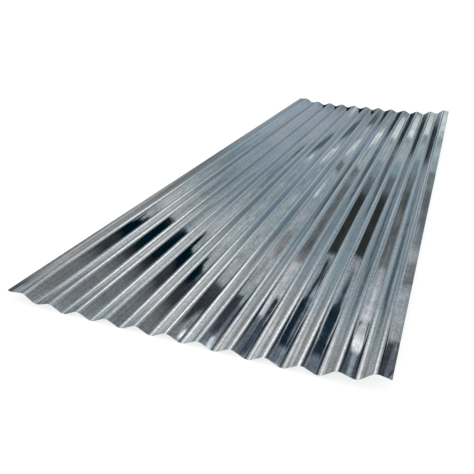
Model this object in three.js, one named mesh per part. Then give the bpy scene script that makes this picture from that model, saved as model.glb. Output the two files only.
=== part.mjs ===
// A corrugated steel roofing sheet, roll-formed from one strip and lying on a level floor.
// X runs across the corrugations, Y along them and Z up. The origin is on the floor, under the middle.
import * as THREE from "three";

// Driving dimensions, in millimetres: a sheet of 32 in by 8 ft, corrugated 2 2/3 in by 1/2 in.
const SHEET_LENGTH = 2438.4;
const CORRUGATIONS = 12;
const PITCH = 67.733; // trough to trough
const DEPTH = 12.7; // from a trough up to a crest, on one side of the sheet
const THICKNESS = 0.44; // 29 gauge, with its zinc
const BEND_RADIUS = 17.7; // of each crest and trough, to the middle of the thickness

// The strip ran a little off centre through the rolls, so neither side ends exactly on a trough.
const LEFT_PAST_TROUGH = 3.3; // the left side reaches past the first trough
const RIGHT_SHORT_OF_TROUGH = 6.9; // the right side stops before the last one

// The rolls leave each side curling up. Each curl is an arc that starts some way in from its side.
const LEFT_CURL = { width: 161, radius: 508 };
const RIGHT_CURL = { width: 199, radius: 643 };

// How finely the round parts are cut. An odd number leaves a small flat on every crest and trough.
const BEND_STEPS = 9;
const FLANK_STEPS = 3;

// Each flank is a straight tangent between two bends. Its angle follows from the pitch, depth and radius.
const HALF_PITCH = PITCH / 2;
const RADII_LESS_DEPTH = 2 * BEND_RADIUS - DEPTH;
const FLANK_ANGLE =
  Math.asin((2 * BEND_RADIUS) / Math.hypot(HALF_PITCH, RADII_LESS_DEPTH)) -
  Math.atan2(RADII_LESS_DEPTH, HALF_PITCH);
const BEND_REACH = BEND_RADIUS * Math.sin(FLANK_ANGLE);

const LEFT_SIDE = -LEFT_PAST_TROUGH;
const RIGHT_SIDE = CORRUGATIONS * PITCH - RIGHT_SHORT_OF_TROUGH;
const LEFT_CURL_START = LEFT_SIDE + LEFT_CURL.width;
const RIGHT_CURL_START = RIGHT_SIDE - RIGHT_CURL.width;

// Places across the sheet where its section is cut: the steps of each bend, then those of the flank after it.
function stations() {
  const cuts = [LEFT_SIDE];
  for (let half = 0; half <= 2 * CORRUGATIONS; half++) {
    const middle = half * HALF_PITCH;
    for (let i = 0; i <= BEND_STEPS; i++) {
      const angle = FLANK_ANGLE * ((2 * i) / BEND_STEPS - 1);
      cuts.push(middle + BEND_RADIUS * Math.sin(angle));
    }
    const flank = HALF_PITCH - 2 * BEND_REACH;
    for (let i = 1; i < FLANK_STEPS; i++) {
      cuts.push(middle + BEND_REACH + (flank * i) / FLANK_STEPS);
    }
  }
  return [...cuts.filter((s) => s > LEFT_SIDE && s < RIGHT_SIDE), RIGHT_SIDE];
}

// The corrugation at a place across the sheet: its height above mid-depth, and its slope as an angle.
function wave(s) {
  const half = Math.round(s / HALF_PITCH);
  const side = half % 2 === 0 ? -1 : 1; // -1 at a trough, 1 at a crest
  const fromMiddle = s - half * HALF_PITCH;
  if (Math.abs(fromMiddle) <= BEND_REACH) {
    const angle = Math.asin(fromMiddle / BEND_RADIUS);
    const sag = BEND_RADIUS * (1 - Math.cos(angle));
    return { height: side * (DEPTH / 2 - sag), slope: -side * angle };
  }
  const sag = BEND_RADIUS * (1 - Math.cos(FLANK_ANGLE));
  const down = (Math.abs(fromMiddle) - BEND_REACH) * Math.tan(FLANK_ANGLE);
  return {
    height: side * (DEPTH / 2 - sag - down),
    slope: -side * Math.sign(fromMiddle) * FLANK_ANGLE,
  };
}

// The line that the corrugations stand on: level in the middle, and an arc in each curl.
function base(s) {
  const curled = (start, radius, turn) => ({
    x: start + radius * Math.sin(turn),
    z: radius * (1 - Math.cos(turn)),
    slope: turn,
  });
  if (s < LEFT_CURL_START) {
    const turn = (s - LEFT_CURL_START) / LEFT_CURL.radius;
    return curled(LEFT_CURL_START, LEFT_CURL.radius, turn);
  }
  if (s > RIGHT_CURL_START) {
    const turn = (s - RIGHT_CURL_START) / RIGHT_CURL.radius;
    return curled(RIGHT_CURL_START, RIGHT_CURL.radius, turn);
  }
  return { x: s, z: 0, slope: 0 };
}

// A point of the section, some way out from the middle of the thickness.
function sectionPoint(s, out) {
  const line = base(s);
  const bend = wave(s);
  const slope = line.slope + bend.slope;
  return new THREE.Vector2(
    line.x - bend.height * Math.sin(line.slope) - out * Math.sin(slope),
    line.z + bend.height * Math.cos(line.slope) + out * Math.cos(slope),
  );
}

// The cut end of the sheet as one outline: along the upper face, and back along the lower one.
function sectionShape() {
  const cuts = stations();
  const lower = cuts.map((s) => sectionPoint(s, -THICKNESS / 2));
  const upper = cuts.map((s) => sectionPoint(s, THICKNESS / 2));
  return new THREE.Shape([...lower, ...upper.reverse()]);
}

function corrugatedSheet() {
  const geometry = new THREE.ExtrudeGeometry(sectionShape(), {
    depth: SHEET_LENGTH,
    steps: 1,
    bevelEnabled: false,
  });
  geometry.computeBoundingBox();
  const { min, max } = geometry.boundingBox;
  geometry.translate(-(min.x + max.x) / 2, -min.y, -SHEET_LENGTH / 2);
  const zinc = new THREE.MeshStandardMaterial({
    name: "galvanized_steel",
    color: 0xc3c9cd,
    roughness: 0.25,
    metalness: 1,
  });
  const mesh = new THREE.Mesh(geometry, zinc);
  mesh.name = "corrugated_sheet";
  mesh.rotation.x = Math.PI / 2; // stands the section up, so that it runs along Y
  return mesh;
}

const sheet = new THREE.Group();
sheet.add(corrugatedSheet());

export default sheet;
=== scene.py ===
"""A corrugated galvanized steel sheet, dressed and lit for its picture. Metres, in the CAD part's frame."""

import math

import bmesh
import bpy
import numpy as np
from mathutils import Matrix, Vector


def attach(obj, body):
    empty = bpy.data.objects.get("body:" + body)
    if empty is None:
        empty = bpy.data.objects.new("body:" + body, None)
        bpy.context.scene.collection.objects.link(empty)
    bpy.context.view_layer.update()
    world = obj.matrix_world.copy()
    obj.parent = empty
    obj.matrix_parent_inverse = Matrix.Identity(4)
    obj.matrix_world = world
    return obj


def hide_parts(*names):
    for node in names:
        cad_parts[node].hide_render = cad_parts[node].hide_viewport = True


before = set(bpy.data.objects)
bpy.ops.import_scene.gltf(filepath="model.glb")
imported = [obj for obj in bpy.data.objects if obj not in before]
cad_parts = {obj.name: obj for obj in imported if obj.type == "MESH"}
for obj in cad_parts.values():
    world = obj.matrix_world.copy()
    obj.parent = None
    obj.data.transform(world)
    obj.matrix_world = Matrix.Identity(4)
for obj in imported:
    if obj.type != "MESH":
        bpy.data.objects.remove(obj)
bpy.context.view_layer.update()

# The sheet's own dimensions, as in the CAD part.
LENGTH = 2.4384
CORRUGATIONS = 12
PITCH = 0.067733
DEPTH = 0.0127
THICKNESS = 0.00044
BEND_RADIUS = 0.0177
LEFT_PAST_TROUGH = 0.0033
RIGHT_SHORT_OF_TROUGH = 0.0069
LEFT_CURL_WIDTH, LEFT_CURL_RADIUS = 0.161, 0.508
RIGHT_CURL_WIDTH, RIGHT_CURL_RADIUS = 0.199, 0.643

# The flanks are tangent to the bends, so their angle follows from the depth and the bend radius.
HALF_PITCH = PITCH / 2
BEND_SPAN = 2 * BEND_RADIUS - DEPTH
SPAN_TILT = math.atan2(BEND_SPAN, HALF_PITCH)
FLANK_ANGLE = math.asin(2 * BEND_RADIUS / math.hypot(HALF_PITCH, BEND_SPAN)) - SPAN_TILT
BEND_REACH = BEND_RADIUS * math.sin(FLANK_ANGLE)
LEFT_SIDE = -LEFT_PAST_TROUGH
RIGHT_SIDE = CORRUGATIONS * PITCH - RIGHT_SHORT_OF_TROUGH


def add_object(name, data):
    """A new object with this data, in the scene."""
    item = bpy.data.objects.new(name, data)
    bpy.context.scene.collection.objects.link(item)
    return item


# ---------------------------------------------------------------- camera
# Fitted to the photograph's perspective.
CAMERA_AT = Vector((0.42197, -2.08214, 0.65539))
LOOKS_AT = Vector((-0.07325, -0.69996, 0.0))
ROLL = math.radians(1.954)
LENS, SENSOR_WIDTH = 44.547, 36.0
NEAREST, FARTHEST = 0.01, 500.0

camera_data = bpy.data.cameras.new("camera")
camera_data.sensor_width = SENSOR_WIDTH
camera_data.lens = LENS
camera_data.clip_start, camera_data.clip_end = NEAREST, FARTHEST
camera = add_object("camera", camera_data)
aim = (LOOKS_AT - CAMERA_AT).to_track_quat("-Z", "Y").to_matrix()
camera.matrix_world = Matrix.Translation(CAMERA_AT) @ (aim @ Matrix.Rotation(ROLL, 3, "Z")).to_4x4()
bpy.context.scene.camera = camera


# ---------------------------------------------------------------- the sheet
# The rolls leave the flanks a little hollow on the left of each corrugation and a little round on the right.
FLANK_HOLLOW, FLANK_BULGE, FLANK_HALF_WIDTH = -0.00012, 0.00006, 0.16 * PITCH
# Some crests stand lower or higher than the others. Corrugations are counted from 0 at the left.
CRESTS = {0: -0.0018, 1: -0.0008, 8: 0.0007, 9: 0.0010, 10: 0.0009}
# The near right corner is turned down a little.
CORNER_WIDTH, CORNER_LENGTH, CORNER_DROP = 0.0148, 0.13, 0.001
# Long shallow waves run over the whole sheet, as in all thin steel.
WAVES = 26
WAVE_SLOPE = 0.0006
SHORTEST_WAVE, LONGEST_WAVE = 0.09, 0.4
NARROWEST_WAVE, WIDEST_WAVE = 0.06, 0.22
random = np.random.default_rng(7)
WAVE_LENGTHS = random.uniform(SHORTEST_WAVE, LONGEST_WAVE, WAVES)
WAVE_WIDTHS = random.uniform(NARROWEST_WAVE, WIDEST_WAVE, WAVES) * random.choice([-1, 1], WAVES)
WAVE_PHASES = random.uniform(0, 2 * math.pi, WAVES)


def relief(s, y):
    """How far the surface stands from the exact section, at s across the strip and y along it."""
    corrugation = np.floor(s / PITCH)
    across = s - corrugation * PITCH
    height = 0 * (s + y)
    for flank, swell in ((PITCH / 4, FLANK_HOLLOW), (PITCH * 3 / 4, FLANK_BULGE)):
        off = np.clip((across - flank) / FLANK_HALF_WIDTH, -1, 1)
        height = height + swell * (1 - off**2) ** 2
    crest_shape = (1 - np.cos(2 * math.pi * across / PITCH)) / 2
    for crest, rise in CRESTS.items():
        height = height + np.where(corrugation == crest, rise * crest_shape, 0)
    to_corner = np.clip((s - RIGHT_SIDE) / CORNER_WIDTH + 1, 0, None)
    to_corner = to_corner * np.clip(1 - (y + LENGTH / 2) / CORNER_LENGTH, 0, 1)
    height = height - CORNER_DROP * to_corner**2
    for length, width, phase in zip(WAVE_LENGTHS, WAVE_WIDTHS, WAVE_PHASES):
        steepness = 2 * math.pi * math.hypot(1 / length, 1 / width)
        height = height + WAVE_SLOPE / steepness * np.sin(2 * math.pi * (y / length + s / width) + phase)
    return height


def section(s):
    """Height of the uncurled strip at s, and the angle at which it falls: arcs joined by straight flanks."""
    half = np.round(s / HALF_PITCH)
    side = np.where(half % 2 == 0, -1.0, 1.0)
    off = s - half * HALF_PITCH
    in_bend = np.arcsin(np.clip(off / BEND_RADIUS, -1, 1))
    angle = np.where(np.abs(off) <= BEND_REACH, in_bend, np.sign(off) * FLANK_ANGLE)
    on_flank = np.maximum(np.abs(off) - BEND_REACH, 0)
    sag = BEND_RADIUS * (1 - np.cos(angle)) + on_flank * math.tan(FLANK_ANGLE)
    return side * (DEPTH / 2 - sag), side * angle


def curl(s):
    """Where the base line is at s, and how far it has turned: it curls up along a circle at each side."""
    left, right = LEFT_SIDE + LEFT_CURL_WIDTH, RIGHT_SIDE - RIGHT_CURL_WIDTH
    start = np.where(s < left, left, right)
    radius = np.where(s < left, LEFT_CURL_RADIUS, RIGHT_CURL_RADIUS)
    curled = (s < left) | (s > right)
    turn = np.where(curled, (s - start) / radius, 0.0)
    return np.where(curled, start + radius * np.sin(turn), s), radius * (1 - np.cos(turn)), turn


def surface(s, y, out):
    """Points at s across the strip and y along it, out from its middle. Both faces have the same relief."""
    height, fall = section(s)
    base_x, base_z, turn = curl(s)
    slope = turn - fall
    out = out + relief(s, y)
    x = base_x - height * np.sin(turn) - out * np.sin(slope)
    z = base_z + height * np.cos(turn) + out * np.cos(slope)
    return np.stack([x, y + 0 * x, z], -1)


def face(s, y, out, nudge=1e-6):
    """Points and normals of the face that lies this far out from the strip's middle."""
    along_s = surface(s + nudge, y, out) - surface(s - nudge, y, out)
    along_y = surface(s, y + nudge, out) - surface(s, y - nudge, out)
    normals = np.cross(along_s, along_y) * math.copysign(1, out)
    normals = normals / np.linalg.norm(normals, axis=-1, keepdims=True)
    return surface(s, y, out).reshape(-1, 3), normals.reshape(-1, 3)


def stations(bend_steps=8, flank_steps=4):
    """Places across the strip where the mesh is cut."""
    cuts = [LEFT_SIDE, RIGHT_SIDE]
    flank = HALF_PITCH - 2 * BEND_REACH
    for half in range(2 * CORRUGATIONS + 1):
        middle = half * HALF_PITCH
        for step in range(bend_steps + 1):
            cuts.append(middle + BEND_RADIUS * math.sin(FLANK_ANGLE * (2 * step / bend_steps - 1)))
        for step in range(1, flank_steps):
            cuts.append(middle + BEND_REACH + flank * step / flank_steps)
    return np.array(sorted(cut for cut in cuts if LEFT_SIDE <= cut <= RIGHT_SIDE))


def quads(grid):
    """Faces between neighbours in a grid of point numbers."""
    return np.stack([grid[:-1, :-1], grid[:-1, 1:], grid[1:, 1:], grid[1:, :-1]], -1).reshape(-1, 4)


def build_sheet(lengths=110):
    """The sheet as one closed mesh, with exact normals on its two faces and flat narrow edges."""
    s, y = np.meshgrid(stations(), np.linspace(-LENGTH / 2, LENGTH / 2, lengths + 1))
    upper_points, upper_normals = face(s, y, THICKNESS / 2)
    lower_points, lower_normals = face(s, y, -THICKNESS / 2)
    points = np.concatenate([upper_points, lower_points])
    normals = np.concatenate([upper_normals, lower_normals])
    lowest, highest = points.min(0), points.max(0)
    points -= ((lowest[0] + highest[0]) / 2, 0, lowest[2])

    upper = np.arange(s.size).reshape(s.shape)
    lower = upper + s.size
    ends = [(upper[0], lower[0]), (lower[-1], upper[-1])]
    sides = [(lower[:, 0], upper[:, 0]), (upper[:, -1], lower[:, -1])]
    smooth = np.concatenate([quads(upper), quads(lower)[:, ::-1]])
    faces = np.concatenate([smooth] + [quads(np.stack(edge))[:, ::-1] for edge in ends + sides])
    mesh = bpy.data.meshes.new("sheet")
    mesh.from_pydata(points.tolist(), [], faces.tolist())
    mesh.update()
    mesh.polygons.foreach_set("use_smooth", [True] * len(faces))
    corner_normals = normals[faces.reshape(-1)]
    flat = np.zeros(len(faces) * 3)
    mesh.polygons.foreach_get("normal", flat)
    corner_normals[smooth.size :] = np.repeat(flat.reshape(-1, 3)[len(smooth) :], 4, 0)
    mesh.normals_split_custom_set(corner_normals.tolist())
    across = mesh.attributes.new("across", "FLOAT", "POINT")  # in corrugations from the first trough
    across.data.foreach_set("value", np.tile(s.reshape(-1) / PITCH, 2).tolist())
    return add_object("galvanized_sheet", mesh)


# ---------------------------------------------------------------- shader building
class Nodes:
    """Short calls for a shader's nodes. A number, a tuple or a node's output can go into any input."""

    def __init__(self, tree):
        self.tree = tree
        tree.nodes.clear()

    def put(self, socket, value):
        if isinstance(value, bpy.types.NodeSocket):
            self.tree.links.new(value, socket)
        else:
            socket.default_value = value

    def add(self, kind, *values, inputs=None, **options):
        """A node: values go into its first inputs, inputs into those named, and options are its settings."""
        node = self.tree.nodes.new(kind)
        for name, value in options.items():
            setattr(node, name, value)
        for socket, value in zip(node.inputs, values):
            self.put(socket, value)
        for name, value in (inputs or {}).items():
            self.put(node.inputs[name], value)
        return node

    def math(self, operation, *values):
        return self.add("ShaderNodeMath", *values, operation=operation).outputs[0]

    def times(self, first, *others):
        for other in others:
            first = self.math("MULTIPLY", first, other)
        return first

    def apart(self, a, b):
        return self.math("ABSOLUTE", self.math("SUBTRACT", a, b))

    def vector(self, operation, *values):
        return self.add("ShaderNodeVectorMath", *values, operation=operation).outputs[0]

    def ramp(self, value, low, high, to_low=0.0, to_high=1.0, shape="SMOOTHSTEP"):
        """to_low where value is low, to_high where it is high, and clamped beyond."""
        inputs = {"Value": value, "From Min": low, "From Max": high, "To Min": to_low, "To Max": to_high}
        return self.add("ShaderNodeMapRange", interpolation_type=shape, inputs=inputs).outputs[0]

    def mix(self, amount, a, b, blend="MIX"):
        # A mix of colours takes its amount from input 0 and its colours from 6 and 7.
        node = self.add("ShaderNodeMix", data_type="RGBA", blend_type=blend)
        for socket, value in zip((0, 6, 7), (amount, a, b)):
            self.put(node.inputs[socket], value)
        return node.outputs[2]

    def scaled(self, vector, *scales):
        return self.vector("MULTIPLY", vector, scales)

    def noise(self, vector, detail, roughness, colour=False):
        inputs = {"Vector": vector, "Scale": 1.0, "Detail": detail, "Roughness": roughness}
        return self.add("ShaderNodeTexNoise", inputs=inputs).outputs["Color" if colour else "Fac"]

    def shift(self, vector, detail, roughness):
        """Noise that moves a place as far one way as the other."""
        return self.vector("SUBTRACT", self.noise(vector, detail, roughness, True), (0.5, 0.5, 0.5))

    def bump(self, distance, height, **normal):
        inputs = {"Strength": 1.0, "Distance": distance, "Height": height, **normal}
        return self.add("ShaderNodeBump", inputs=inputs).outputs[0]


def new_material(name):
    """A material, its nodes and the socket that its surface goes into."""
    material = bpy.data.materials.new(name)
    material.use_nodes = True
    nodes = Nodes(material.node_tree)
    return material, nodes, nodes.add("ShaderNodeOutputMaterial").inputs["Surface"]


def linear(r, g, b):
    """A screen colour, each part from 0 to 255, as the colour that Blender's nodes take."""
    parts = [part / 255 for part in (r, g, b)]
    parts = [part / 12.92 if part <= 0.04045 else ((part + 0.055) / 1.055) ** 2.4 for part in parts]
    return (*parts, 1.0)


# ---------------------------------------------------------------- galvanized steel
STEEL = (0.62, 0.655, 0.68)  # about the steel's mean colour
BLUER_ZINC, GREYER_ZINC = (0.575, 0.65, 0.69, 1), (0.61, 0.65, 0.67, 1)
GRAZING_TINT = (0.8, 0.8, 0.8, 1.0)  # holds back the shine at flat angles
CRYSTALS_PER_METRE, SPECKS_PER_METRE = 90.0, 230.0
FEATHER_REACH = 0.006
# Noise on the zinc: how fine it is per metre across the sheet and along it, its detail and its roughness.
FEATHERS = (260, 260, 2, 0.6)
CLOUDS = (9, 5, 3, 0.55)
ROLLED = (700, 3, 3, 0.6)
DRAWN = (200, 0.8, 2, 0.7)
RIPPLES = (45, 160, 2, 0.55)
RIPPLE_PATCHES = (14, 3.5, 2, 0.5)
LONG_LINES = (120, 0.6, 2, 0.5)
# How high the bumps in the noise stand.
RIPPLE_BUMP, ROLLED_BUMP, LINE_BUMP = 0.000007, 0.000002, 0.000012
# Lines along the corrugations, partly the marks of the rolls and partly painted highlights at the bends, with
# painted shade
# beside them and on the flanks: place across from trough (0) to trough (1), half width, gain in brightness,
# and how far the line has moved to the left at the last corrugation.
ROLL_MARKS_AND_PAINTED_HIGHLIGHTS = (
    (0.99, 0.036, 0.36, 0.02),
    (0.935, 0.03, -0.28, 0.02),
    (0.5, 0.03, 0.36, 0.045),
    (0.565, 0.03, -0.25, 0.045),
    (0.335, 0.045, -0.12, 0.0),
    (0.2, 0.06, 0.08, 0.0),
)


def pattern(nodes, place, across, along, detail, roughness):
    """Noise with its own scale across the sheet and along it."""
    return nodes.noise(nodes.scaled(place, across, along, across), detail, roughness)


def zinc(nodes, place):
    """Patterns from 0 to 1: spangle, specks, clouds and the streaks of rolling."""
    # The crystals are 8 to 14 mm across and faint, with feathered edges.
    across, along, detail, rough = FEATHERS
    feather = nodes.shift(nodes.scaled(place, across, along, across), detail, rough)
    feathered = nodes.vector("ADD", place, nodes.scaled(feather, FEATHER_REACH, FEATHER_REACH, FEATHER_REACH))
    crystals = nodes.add("ShaderNodeTexVoronoi", feathered, inputs={"Scale": CRYSTALS_PER_METRE})
    crystal = nodes.add("ShaderNodeSeparateColor", crystals.outputs["Color"]).outputs[0]
    specks = nodes.add("ShaderNodeTexVoronoi", place, inputs={"Scale": SPECKS_PER_METRE})
    speck = nodes.add("ShaderNodeSeparateColor", specks.outputs["Color"]).outputs[1]
    return crystal, speck, pattern(nodes, place, *CLOUDS), pattern(nodes, place, *ROLLED)


def painted_dark_reflections(nodes, place, strip, across):
    """How much brightness the painted dark reflections take out of the zinc's colour."""
    # y is in metres from the middle towards the far end, and strip in corrugations from the first trough.
    y = nodes.add("ShaderNodeSeparateXYZ", place).outputs[1]
    # The left edge, most at the near end.
    edge = nodes.times(nodes.ramp(strip, 0.13, 0.03), nodes.ramp(y, 0.5, -0.1))
    edge = nodes.times(edge, nodes.ramp(y, -1.13, -1.2, 0.54, 0.8))
    # The leftmost flank, a little nearer than the middle.
    middle = nodes.times(nodes.ramp(y, -0.75, -0.35), nodes.ramp(y, 0.22, -0.14))
    flank = nodes.times(nodes.ramp(strip, 0.46, 0.32, 0.0, 0.5), middle)
    # The left flanks of the right half, in the middle of its length.
    right = nodes.times(nodes.ramp(strip, 5.0, 7.0, 0.0, 0.2), nodes.ramp(y, -0.8, -0.5))
    right = nodes.times(right, nodes.ramp(y, 0.5, 0.2))
    right = nodes.times(right, nodes.ramp(nodes.apart(across, 0.15), 0.35, 0.2))
    return nodes.math("MAXIMUM", nodes.math("MAXIMUM", edge, flank), right)


def marks_and_painted_light(nodes, place, shade, speck):
    """This brightness with the zinc's drawn lines and specks, the roll marks with painted highlights and
    shade, and painted dark reflections.
    """
    strip = nodes.add("ShaderNodeAttribute", attribute_name="across").outputs["Fac"]
    across = nodes.math("FRACT", strip)
    drawn = nodes.ramp(pattern(nodes, place, *DRAWN), 0.3, 0.7, -1.0, 1.0, "LINEAR")
    drawn = nodes.times(drawn, nodes.ramp(across, 0.45, 0.6, 0.42, 0.2))
    shade = nodes.times(shade, nodes.math("ADD", drawn, 1.0))
    # Painted highlights at the bends, with painted shade beside them and on the flanks, partly also burnished
    # and dull roll marks.
    for centre, half_width, gain, drift in ROLL_MARKS_AND_PAINTED_HIGHLIGHTS:
        drifted = nodes.math("MULTIPLY_ADD", strip, drift / CORRUGATIONS, across)
        near = nodes.ramp(nodes.apart(drifted, centre), half_width, 0.0)
        shade = nodes.times(shade, nodes.math("ADD", nodes.times(near, gain), 1.0))
    shade = nodes.times(shade, nodes.ramp(speck, 0.0, 1.0, 0.84, 1.16, "LINEAR"))
    # Dark reflections are painted into the colour here: on the left edge, the leftmost flank and some left
    # flanks of the right half.
    return nodes.times(shade, nodes.math("SUBTRACT", 1.0, painted_dark_reflections(nodes, place, strip, across)))


def roughness(nodes, crystal, clouds, rolled):
    """Uneven, and always low: the sheet is nearly a mirror."""
    by_crystal = nodes.ramp(crystal, 0.0, 1.0, 0.02, 0.045, "LINEAR")
    rough = nodes.math("ADD", by_crystal, nodes.ramp(clouds, 0.3, 0.7, 0.0, 0.015))
    return nodes.math("ADD", rough, nodes.ramp(rolled, 0.5, 0.8, 0.0, 0.02))


def bumps(nodes, place, rolled):
    """Fine ripples that lie across the sheet, and drawn lines that run along it."""
    ripples = pattern(nodes, place, *RIPPLES)
    patches = nodes.ramp(pattern(nodes, place, *RIPPLE_PATCHES), 0.38, 0.62, 0.25, 1.0)
    first = nodes.bump(RIPPLE_BUMP, nodes.times(ripples, patches))
    second = nodes.bump(ROLLED_BUMP, rolled, Normal=first)
    return nodes.bump(LINE_BUMP, pattern(nodes, place, *LONG_LINES), Normal=second)


def galvanized():
    """Galvanized steel, nearly a mirror."""
    material, nodes, surface_in = new_material("galvanized_steel")
    shader = nodes.add("ShaderNodeBsdfPrincipled")
    nodes.put(surface_in, shader.outputs[0])
    shader.inputs["Metallic"].default_value = 1.0
    shader.inputs["Specular Tint"].default_value = GRAZING_TINT
    place = nodes.add("ShaderNodeTexCoord").outputs["Object"]
    crystal, speck, clouds, rolled = zinc(nodes, place)
    cloudy = nodes.ramp(clouds, 0.25, 0.75, 0.93, 1.03, "LINEAR")
    shade = nodes.math("ADD", cloudy, nodes.ramp(crystal, 0.0, 1.0, -0.03, 0.03, "LINEAR"))
    tone = nodes.mix(nodes.ramp(clouds, 0.35, 0.65), BLUER_ZINC, GREYER_ZINC)
    # Painted highlights, painted shade and painted dark reflections go into the base colour here, along with
    # the zinc's real marks.
    shade = marks_and_painted_light(nodes, place, shade, speck)
    grey = nodes.add("ShaderNodeCombineColor", shade, shade, shade).outputs[0]
    colour = nodes.mix(1.0, tone, grey, "MULTIPLY")
    nodes.put(shader.inputs["Base Color"], colour)
    nodes.put(shader.inputs["Roughness"], roughness(nodes, crystal, clouds, rolled))
    nodes.put(shader.inputs["Normal"], bumps(nodes, place, rolled))
    return material


# ---------------------------------------------------------------- studio
def tint(r, g, b):
    """What a card must be for the steel to show it in this screen colour."""
    colour = linear(r, g, b)
    return (colour[0] / STEEL[0], colour[1] / STEEL[1], colour[2] / STEEL[2], 1.0)


def show_to_steel_alone(item):
    """Hides it from the camera, from soft light and from shadow rays, but not from mirror-like rays."""
    item.visible_camera = item.visible_diffuse = item.visible_shadow = False


# The dome behind the cards: blue-grey low on the right, paler to the left and upwards, and white overhead.
SKY_LOW, SKY_HIGH, SKY_ZENITH = tint(116, 138, 151), tint(161, 164, 167), (1.6, 1.6, 1.6, 1.0)
DOME_RADIUS = 3.5
# The same cards stand all round, each bay the mirror of the last. In degrees of azimuth.
BAY_START, BAY_WIDTH = -68.0, 110.0
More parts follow.
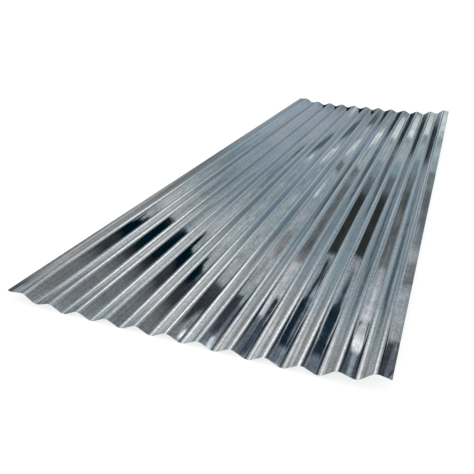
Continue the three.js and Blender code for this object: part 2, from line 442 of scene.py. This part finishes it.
# Cards and flags round the sheet, each painted over those before it. In degrees: azimuth, elevation, half
# width, half height, turn, then how soft the sides, the lower edge and the upper edge are. Then come the
# screen colour in which the steel shows it, and its opacity.
CARDS = [
    # haze on the left, its darker rim, and the grey over it
    (-36, 35.5, 20, 8.5, 16, 7, 6, 6, (225, 226, 228), 0.95),
    (-62, 34, 3, 14, -14, 4, 5, 5, (90, 98, 102), 0.85),
    (-14, 47, 18, 5, -6, 7, 4, 4, (136, 138, 142), 0.8),
    (-60.5, 39, 2.4, 2, 0, 1, 1, 1, (90, 100, 102), 0.8),
    # a paler stretch low in the middle; low on the far left mid-grey, then a light band, then a duller one
    (-9, 14, 13, 8, 0, 6, 4, 6, (158, 168, 179), 0.75),
    (-50, 16.6, 11, 4.2, -8, 4, 2, 3, (136, 136, 135), 0.65),
    (-47, 9.9, 6, 1.2, -3, 3, 0.7, 0.9, (197, 197, 196), 0.85),
    (-50, 5, 9, 2.2, 3, 4, 1, 0.6, (126, 126, 126), 0.65),
    # a grey ceiling on the right and its dark lower edge
    (12, 56, 24, 6, 0, 8, 3, 6, (106, 107, 110), 0.97),
    (11.4, 47.4, 10.8, 3.8, 0, 1.5, 1.2, 2.8, (36, 38, 44), 0.95),
    (-4.4, 47, 3.5, 3.5, -10, 2.5, 3, 3, (68, 70, 76), 0.8),
    # a pale front under it, bluer low on its left, lighter high on its left and on its right
    (12.5, 33.5, 11.5, 8.2, 0, 1.5, 3, 0.8, (150, 153, 157), 0.95),
    (7.5, 30, 4.5, 6.5, 0, 1.5, 3, 3, (142, 155, 160), 0.7),
    (7.5, 35, 3.6, 3.6, 0, 1.5, 2, 1.2, (176, 180, 184), 0.45),
    (22, 32.8, 1.6, 4.4, -42, 1.5, 1, 1.5, (180, 182, 186), 0.85),
    # dark trees over the front
    (8.2, 43.8, 6.3, 2, 5, 0.5, 0.3, 1, (0, 18, 28), 1),
    (3, 44, 2.4, 4, -4, 0.35, 0.3, 1.5, (0, 20, 30), 1),
    (5.9, 41.2, 0.9, 2.8, -25, 0.25, 0.3, 0.5, (0, 18, 28), 1),
    (10.6, 42.3, 0.7, 2, -25, 0.25, 0.3, 0.5, (0, 20, 30), 1),
    (19.6, 43.8, 3.2, 2.6, -15, 1, 0.4, 1.2, (46, 48, 54), 0.95),
    # slanting light and dark bands to the right of the front, and two dull patches low on it
    (26.5, 47.2, 2.8, 1.9, -45, 1, 1, 1, (94, 100, 110), 0.9),
    (29.5, 42.8, 2.1, 5.5, -62, 0.8, 0.8, 0.8, (86, 92, 102), 0.95),
    (24.3, 43.2, 1.5, 4, -45, 0.4, 0.5, 0.8, (42, 46, 54), 0.95),
    (30, 47.2, 0.8, 2, -55, 0.4, 0.5, 0.5, (226, 232, 238), 1),
    (25.8, 49.8, 0.5, 0.8, -45, 0.3, 0.3, 0.3, (240, 244, 248), 1),
    (31.6, 37.4, 1.1, 5.6, -50, 0.4, 0.8, 0.8, (132, 140, 148), 0.9),
    (24.4, 37.6, 1.2, 3, -47, 0.4, 0.5, 0.6, (194, 198, 204), 0.95),
    (27.4, 34.9, 0.9, 3.4, -41, 0.3, 0.6, 0.6, (194, 198, 204), 0.9),
    (28, 37.4, 0.8, 3, -36, 0.25, 0.6, 0.5, (34, 40, 50), 1),
    (31.8, 40.9, 1, 3.9, -55, 0.4, 0.4, 0.8, (60, 68, 80), 1),
    (24.2, 30.6, 0.45, 4.6, -42, 0.4, 0.8, 0.8, (190, 195, 200), 0.8),
    (33, 33.8, 1.6, 4.8, -56, 0.4, 0.5, 0.8, (20, 34, 48), 1),
    (29.9, 37.3, 0.8, 1.4, -45, 0.35, 0.5, 0.5, (234, 238, 242), 0.95),
    (27.3, 28.4, 0.65, 4.2, -43, 0.3, 1, 0.4, (34, 40, 50), 0.97),
    (32, 45, 0.7, 0.9, -50, 0.4, 0.4, 0.4, (180, 188, 200), 0.85),
    (37.8, 37.8, 1.7, 1.7, -55, 0.6, 0.6, 0.6, (90, 100, 114), 0.95),
    (18.6, 29.4, 2.6, 2.2, -35, 0.9, 1, 0.8, (112, 114, 118), 0.85),
    (15.2, 31, 1.6, 2.2, -35, 0.8, 1, 1, (106, 108, 112), 0.5),
    # upright dark lines, and light and dark patches low on the right
    (1.2, 33, 0.5, 7.5, -2, 0.5, 2, 2, (100, 116, 128), 0.8),
    (4.4, 26.5, 0.9, 3.4, -24, 0.8, 1.5, 1.5, (108, 120, 126), 0.6),
    (2.6, 23, 0.6, 5.5, -8, 0.5, 2, 2, (96, 112, 120), 0.65),
    (8, 13.5, 3.2, 5.5, -12, 1.2, 1.5, 1.5, (150, 164, 168), 0.9),
    (9.2, 8.2, 1.6, 1.5, -10, 0.6, 0.6, 0.6, (202, 210, 212), 1),
    (9.8, 21.8, 1, 1.5, -25, 0.5, 0.5, 0.5, (196, 198, 200), 0.9),
    (9.8, 17, 2.2, 1, -10, 0.4, 0.4, 0.4, (96, 104, 104), 0.9),
    (2.6, 9.2, 3.4, 1.3, -8, 1, 0.8, 0.8, (98, 108, 108), 0.8),
    (6.9, 14, 0.9, 6, 23, 0.4, 0.8, 0.8, (198, 206, 208), 0.9),
    (3.6, 14.2, 0.8, 6, 13, 0.35, 1, 1, (72, 88, 92), 0.95),
    (16.7, 23, 2.5, 6.8, -32, 0.8, 1.2, 0.8, (94, 98, 100), 0.95),
    (19.4, 20.8, 1.7, 5.8, -39, 0.5, 1.8, 0.5, (42, 46, 46), 1),
    (12.6, 11.4, 1.8, 1.6, -20, 0.8, 0.8, 0.8, (166, 174, 178), 0.8),
    (14.4, 15.8, 1.8, 1.3, -15, 1, 0.8, 0.8, (88, 94, 98), 0.75),
    # low lines on the left, then what lies just over and past the far end
    (-45, 17.5, 15, 0.5, -17, 3, 0.6, 0.6, (126, 122, 120), 0.8),
    (-41, 8.3, 8, 0.4, -8, 3, 0.5, 0.5, (126, 124, 124), 0.8),
    (-17, 3.8, 19, 1, 2, 7, 0.7, 0.5, (76, 86, 92), 0.85),
    (-28, 0.6, 24, 0.8, 0, 4, 0.5, 0.5, (160, 160, 162), 0.8),
    (-5.8, 2.2, 3.3, 2, -6, 1.5, 1, 1, (30, 38, 44), 0.95),
    (-2.2, 8.4, 1.4, 2.4, 0, 0.8, 1, 1, (82, 98, 106), 0.75),
    (1.3, 8.8, 1.1, 1.8, 0, 0.7, 0.8, 0.8, (188, 198, 202), 0.8),
    (1.2, 5.7, 3.2, 0.9, 39, 1, 0.6, 0.6, (188, 192, 194), 0.9),
]


def card_mask(nodes, azimuth, elevation, outline, opacity):
    """How much of the card shows at this azimuth and elevation."""
    at_azimuth, at_elevation, half_width, half_height, turn, soft, soft_low, soft_high = outline
    cos, sin = math.cos(math.radians(turn)), math.sin(math.radians(turn))
    at_x, at_y = at_azimuth * cos + at_elevation * sin, at_elevation * cos - at_azimuth * sin
    x = nodes.math("MULTIPLY_ADD", azimuth, cos, nodes.math("MULTIPLY_ADD", elevation, sin, -at_x))
    y = nodes.math("MULTIPLY_ADD", elevation, cos, nodes.math("MULTIPLY_ADD", azimuth, -sin, -at_y))
    across = nodes.ramp(nodes.math("ABSOLUTE", x), half_width + soft, half_width - soft)
    over = nodes.ramp(y, -half_height - soft_low, -half_height + soft_low)
    under = nodes.ramp(y, half_height + soft_high, half_height - soft_high)
    return nodes.times(across, over, nodes.times(under, opacity))


def angles(nodes):
    """Azimuth and elevation of a place on the dome, in degrees, with the azimuth folded into one bay."""
    place = nodes.vector("NORMALIZE", nodes.add("ShaderNodeTexCoord").outputs["Object"])
    x, y, z = nodes.add("ShaderNodeSeparateXYZ", place).outputs
    azimuth = nodes.times(nodes.math("ARCTAN2", x, y), math.degrees(1))
    folded = nodes.math("PINGPONG", nodes.math("SUBTRACT", azimuth, BAY_START), BAY_WIDTH)
    azimuth = nodes.math("ADD", folded, BAY_START)
    return azimuth, nodes.times(nodes.math("ARCSINE", z), math.degrees(1))


def sky_and_cards(nodes, azimuth, elevation, plan):
    """The dome's colour. The cards use number nodes alone: so many vector nodes would fill Cycles' stack."""
    card_azimuth, card_elevation, _ = nodes.add("ShaderNodeSeparateXYZ", plan).outputs
    left = nodes.ramp(azimuth, -18.0, -44.0)
    up = nodes.ramp(elevation, 14.0, 38.0)
    amount = nodes.math("ADD", nodes.times(left, 0.85), nodes.times(up, 0.6))
    amount = nodes.math("MINIMUM", amount, 1.0)
    sky = nodes.mix(amount, SKY_LOW, SKY_HIGH)
    sky = nodes.mix(nodes.ramp(elevation, 60.0, 72.0), sky, SKY_ZENITH)
    for *outline, colour, opacity in CARDS:
        sky = nodes.mix(card_mask(nodes, card_azimuth, card_elevation, outline, opacity), sky, tint(*colour))
    return sky


def uneven(nodes, noise, low, high, share):
    """A brightness from low to high that follows the noise where share is 1, and plain 1 where it is 0."""
    noise = nodes.ramp(noise, 0.3, 0.7, low, high, "LINEAR")
    return nodes.math("ADD", nodes.times(share, nodes.math("SUBTRACT", noise, 1.0)), 1.0)


def leaves_and_streaks(nodes, azimuth, elevation, plan):
    """How bright the dome is: foliage on the right, and low streaks of cloud on the left."""
    leaves = nodes.noise(nodes.scaled(plan, 0.7, 0.5, 1), 4, 0.65)
    below_ceiling = nodes.times(nodes.ramp(elevation, 44.0, 40.0), nodes.ramp(elevation, 3.0, 6.0))
    leafy = nodes.times(nodes.ramp(azimuth, 2.0, 5.0), below_ceiling)
    streaks = nodes.noise(nodes.scaled(plan, 0.06, 0.55, 1), 3, 0.6)
    streaky = nodes.times(nodes.ramp(azimuth, -3.0, -12.0), nodes.ramp(elevation, 45.0, 30.0))
    leaves = uneven(nodes, leaves, 0.65, 1.35, leafy)
    return nodes.times(leaves, uneven(nodes, streaks, 0.88, 1.12, streaky))


def studio():
    """A dome of cards that the steel reflects. It lights nothing else."""
    ball = bmesh.new()
    bmesh.ops.create_icosphere(ball, subdivisions=4, radius=DOME_RADIUS)
    bmesh.ops.reverse_faces(ball, faces=ball.faces)
    mesh = bpy.data.meshes.new("dome")
    ball.to_mesh(mesh)
    ball.free()
    dome = add_object("dome", mesh)
    show_to_steel_alone(dome)
    material, nodes, surface_in = new_material("studio_cards")
    material.cycles.emission_sampling = "NONE"
    mesh.materials.append(material)
    azimuth, elevation = angles(nodes)
    plan = nodes.add("ShaderNodeCombineXYZ", azimuth, elevation, 0.0).outputs[0]
    # Uneven edges, as trees and clouds have, up to half a degree from where they would be.
    ragged = nodes.shift(nodes.scaled(plan, 0.7, 0.45, 1), 3, 0.6)
    plan = nodes.vector("ADD", plan, nodes.scaled(ragged, 0.8, 1.0, 0))
    sky = sky_and_cards(nodes, azimuth, elevation, plan)
    glow = nodes.add("ShaderNodeEmission", sky, leaves_and_streaks(nodes, azimuth, elevation, plan))
    nodes.put(surface_in, glow.outputs[0])


def white_world():
    """The plain soft light that falls on everything."""
    world = bpy.data.worlds.new("white")
    bpy.context.scene.world = world
    world.use_nodes = True
    nodes = Nodes(world.node_tree)
    out = nodes.add("ShaderNodeOutputWorld")
    white = nodes.add("ShaderNodeBackground", (1, 1, 1, 1), 1.0)
    nodes.put(out.inputs["Surface"], white.outputs[0])


FLOOR_REACH = 150.0
FLOOR_GREY = (0.85, 0.85, 0.85, 1)
# To the camera and in mirrors the floor is part lit, which keeps the shadow, and part glowing white.
LIT_GREY, GLOW = (0.42, 0.42, 0.42, 1), 0.68


def floor():
    """A plain pale floor."""
    mesh = bpy.data.meshes.new("floor")
    corners = [(-1, -1), (1, -1), (1, 1), (-1, 1)]
    mesh.from_pydata([(x * FLOOR_REACH, y * FLOOR_REACH, 0) for x, y in corners], [], [(0, 1, 2, 3)])
    obj = add_object("floor", mesh)
    material, nodes, surface_in = new_material("pale_floor")
    plain = nodes.add("ShaderNodeBsdfDiffuse", FLOOR_GREY)
    lit = nodes.add("ShaderNodeBsdfDiffuse", LIT_GREY)
    glow = nodes.add("ShaderNodeEmission", (1, 1, 1, 1), GLOW)
    pale = nodes.add("ShaderNodeAddShader", lit.outputs[0], glow.outputs[0])
    rays = nodes.add("ShaderNodeLightPath")
    seen = nodes.math("MAXIMUM", rays.outputs["Is Camera Ray"], rays.outputs["Is Glossy Ray"])
    seen = nodes.math("MAXIMUM", seen, rays.outputs["Is Transmission Ray"])
    both = nodes.add("ShaderNodeMixShader", seen, plain.outputs[0], pale.outputs[0])
    nodes.put(surface_in, both.outputs[0])
    mesh.materials.append(material)


FLAG_LEFT, FLAG_RIGHT = -0.42, 0.0
FLAG_BOTTOM, FLAG_TOP = 0.0005, 0.012
FLAG_Y = 1.24


def flag():
    """A low dark flag past the far end, which only the steel sees."""
    mesh = bpy.data.meshes.new("flag")
    bottom = [(FLAG_LEFT, FLAG_Y, FLAG_BOTTOM), (FLAG_RIGHT, FLAG_Y, FLAG_BOTTOM)]
    top = [(FLAG_RIGHT, FLAG_Y, FLAG_TOP), (FLAG_LEFT, FLAG_Y, FLAG_TOP)]
    mesh.from_pydata(bottom + top, [], [(0, 1, 2, 3)])
    obj = add_object("flag", mesh)
    show_to_steel_alone(obj)
    material, nodes, surface_in = new_material("dark_flag")
    nodes.put(surface_in, nodes.add("ShaderNodeEmission", tint(16, 22, 30), 1.0).outputs[0])
    mesh.materials.append(material)


sheet = build_sheet()
sheet.data.materials.append(galvanized())
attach(sheet, "root")
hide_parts("corrugated_sheet")
floor()
flag()
studio()
white_world()
bpy.context.scene.view_settings.view_transform = "Standard"
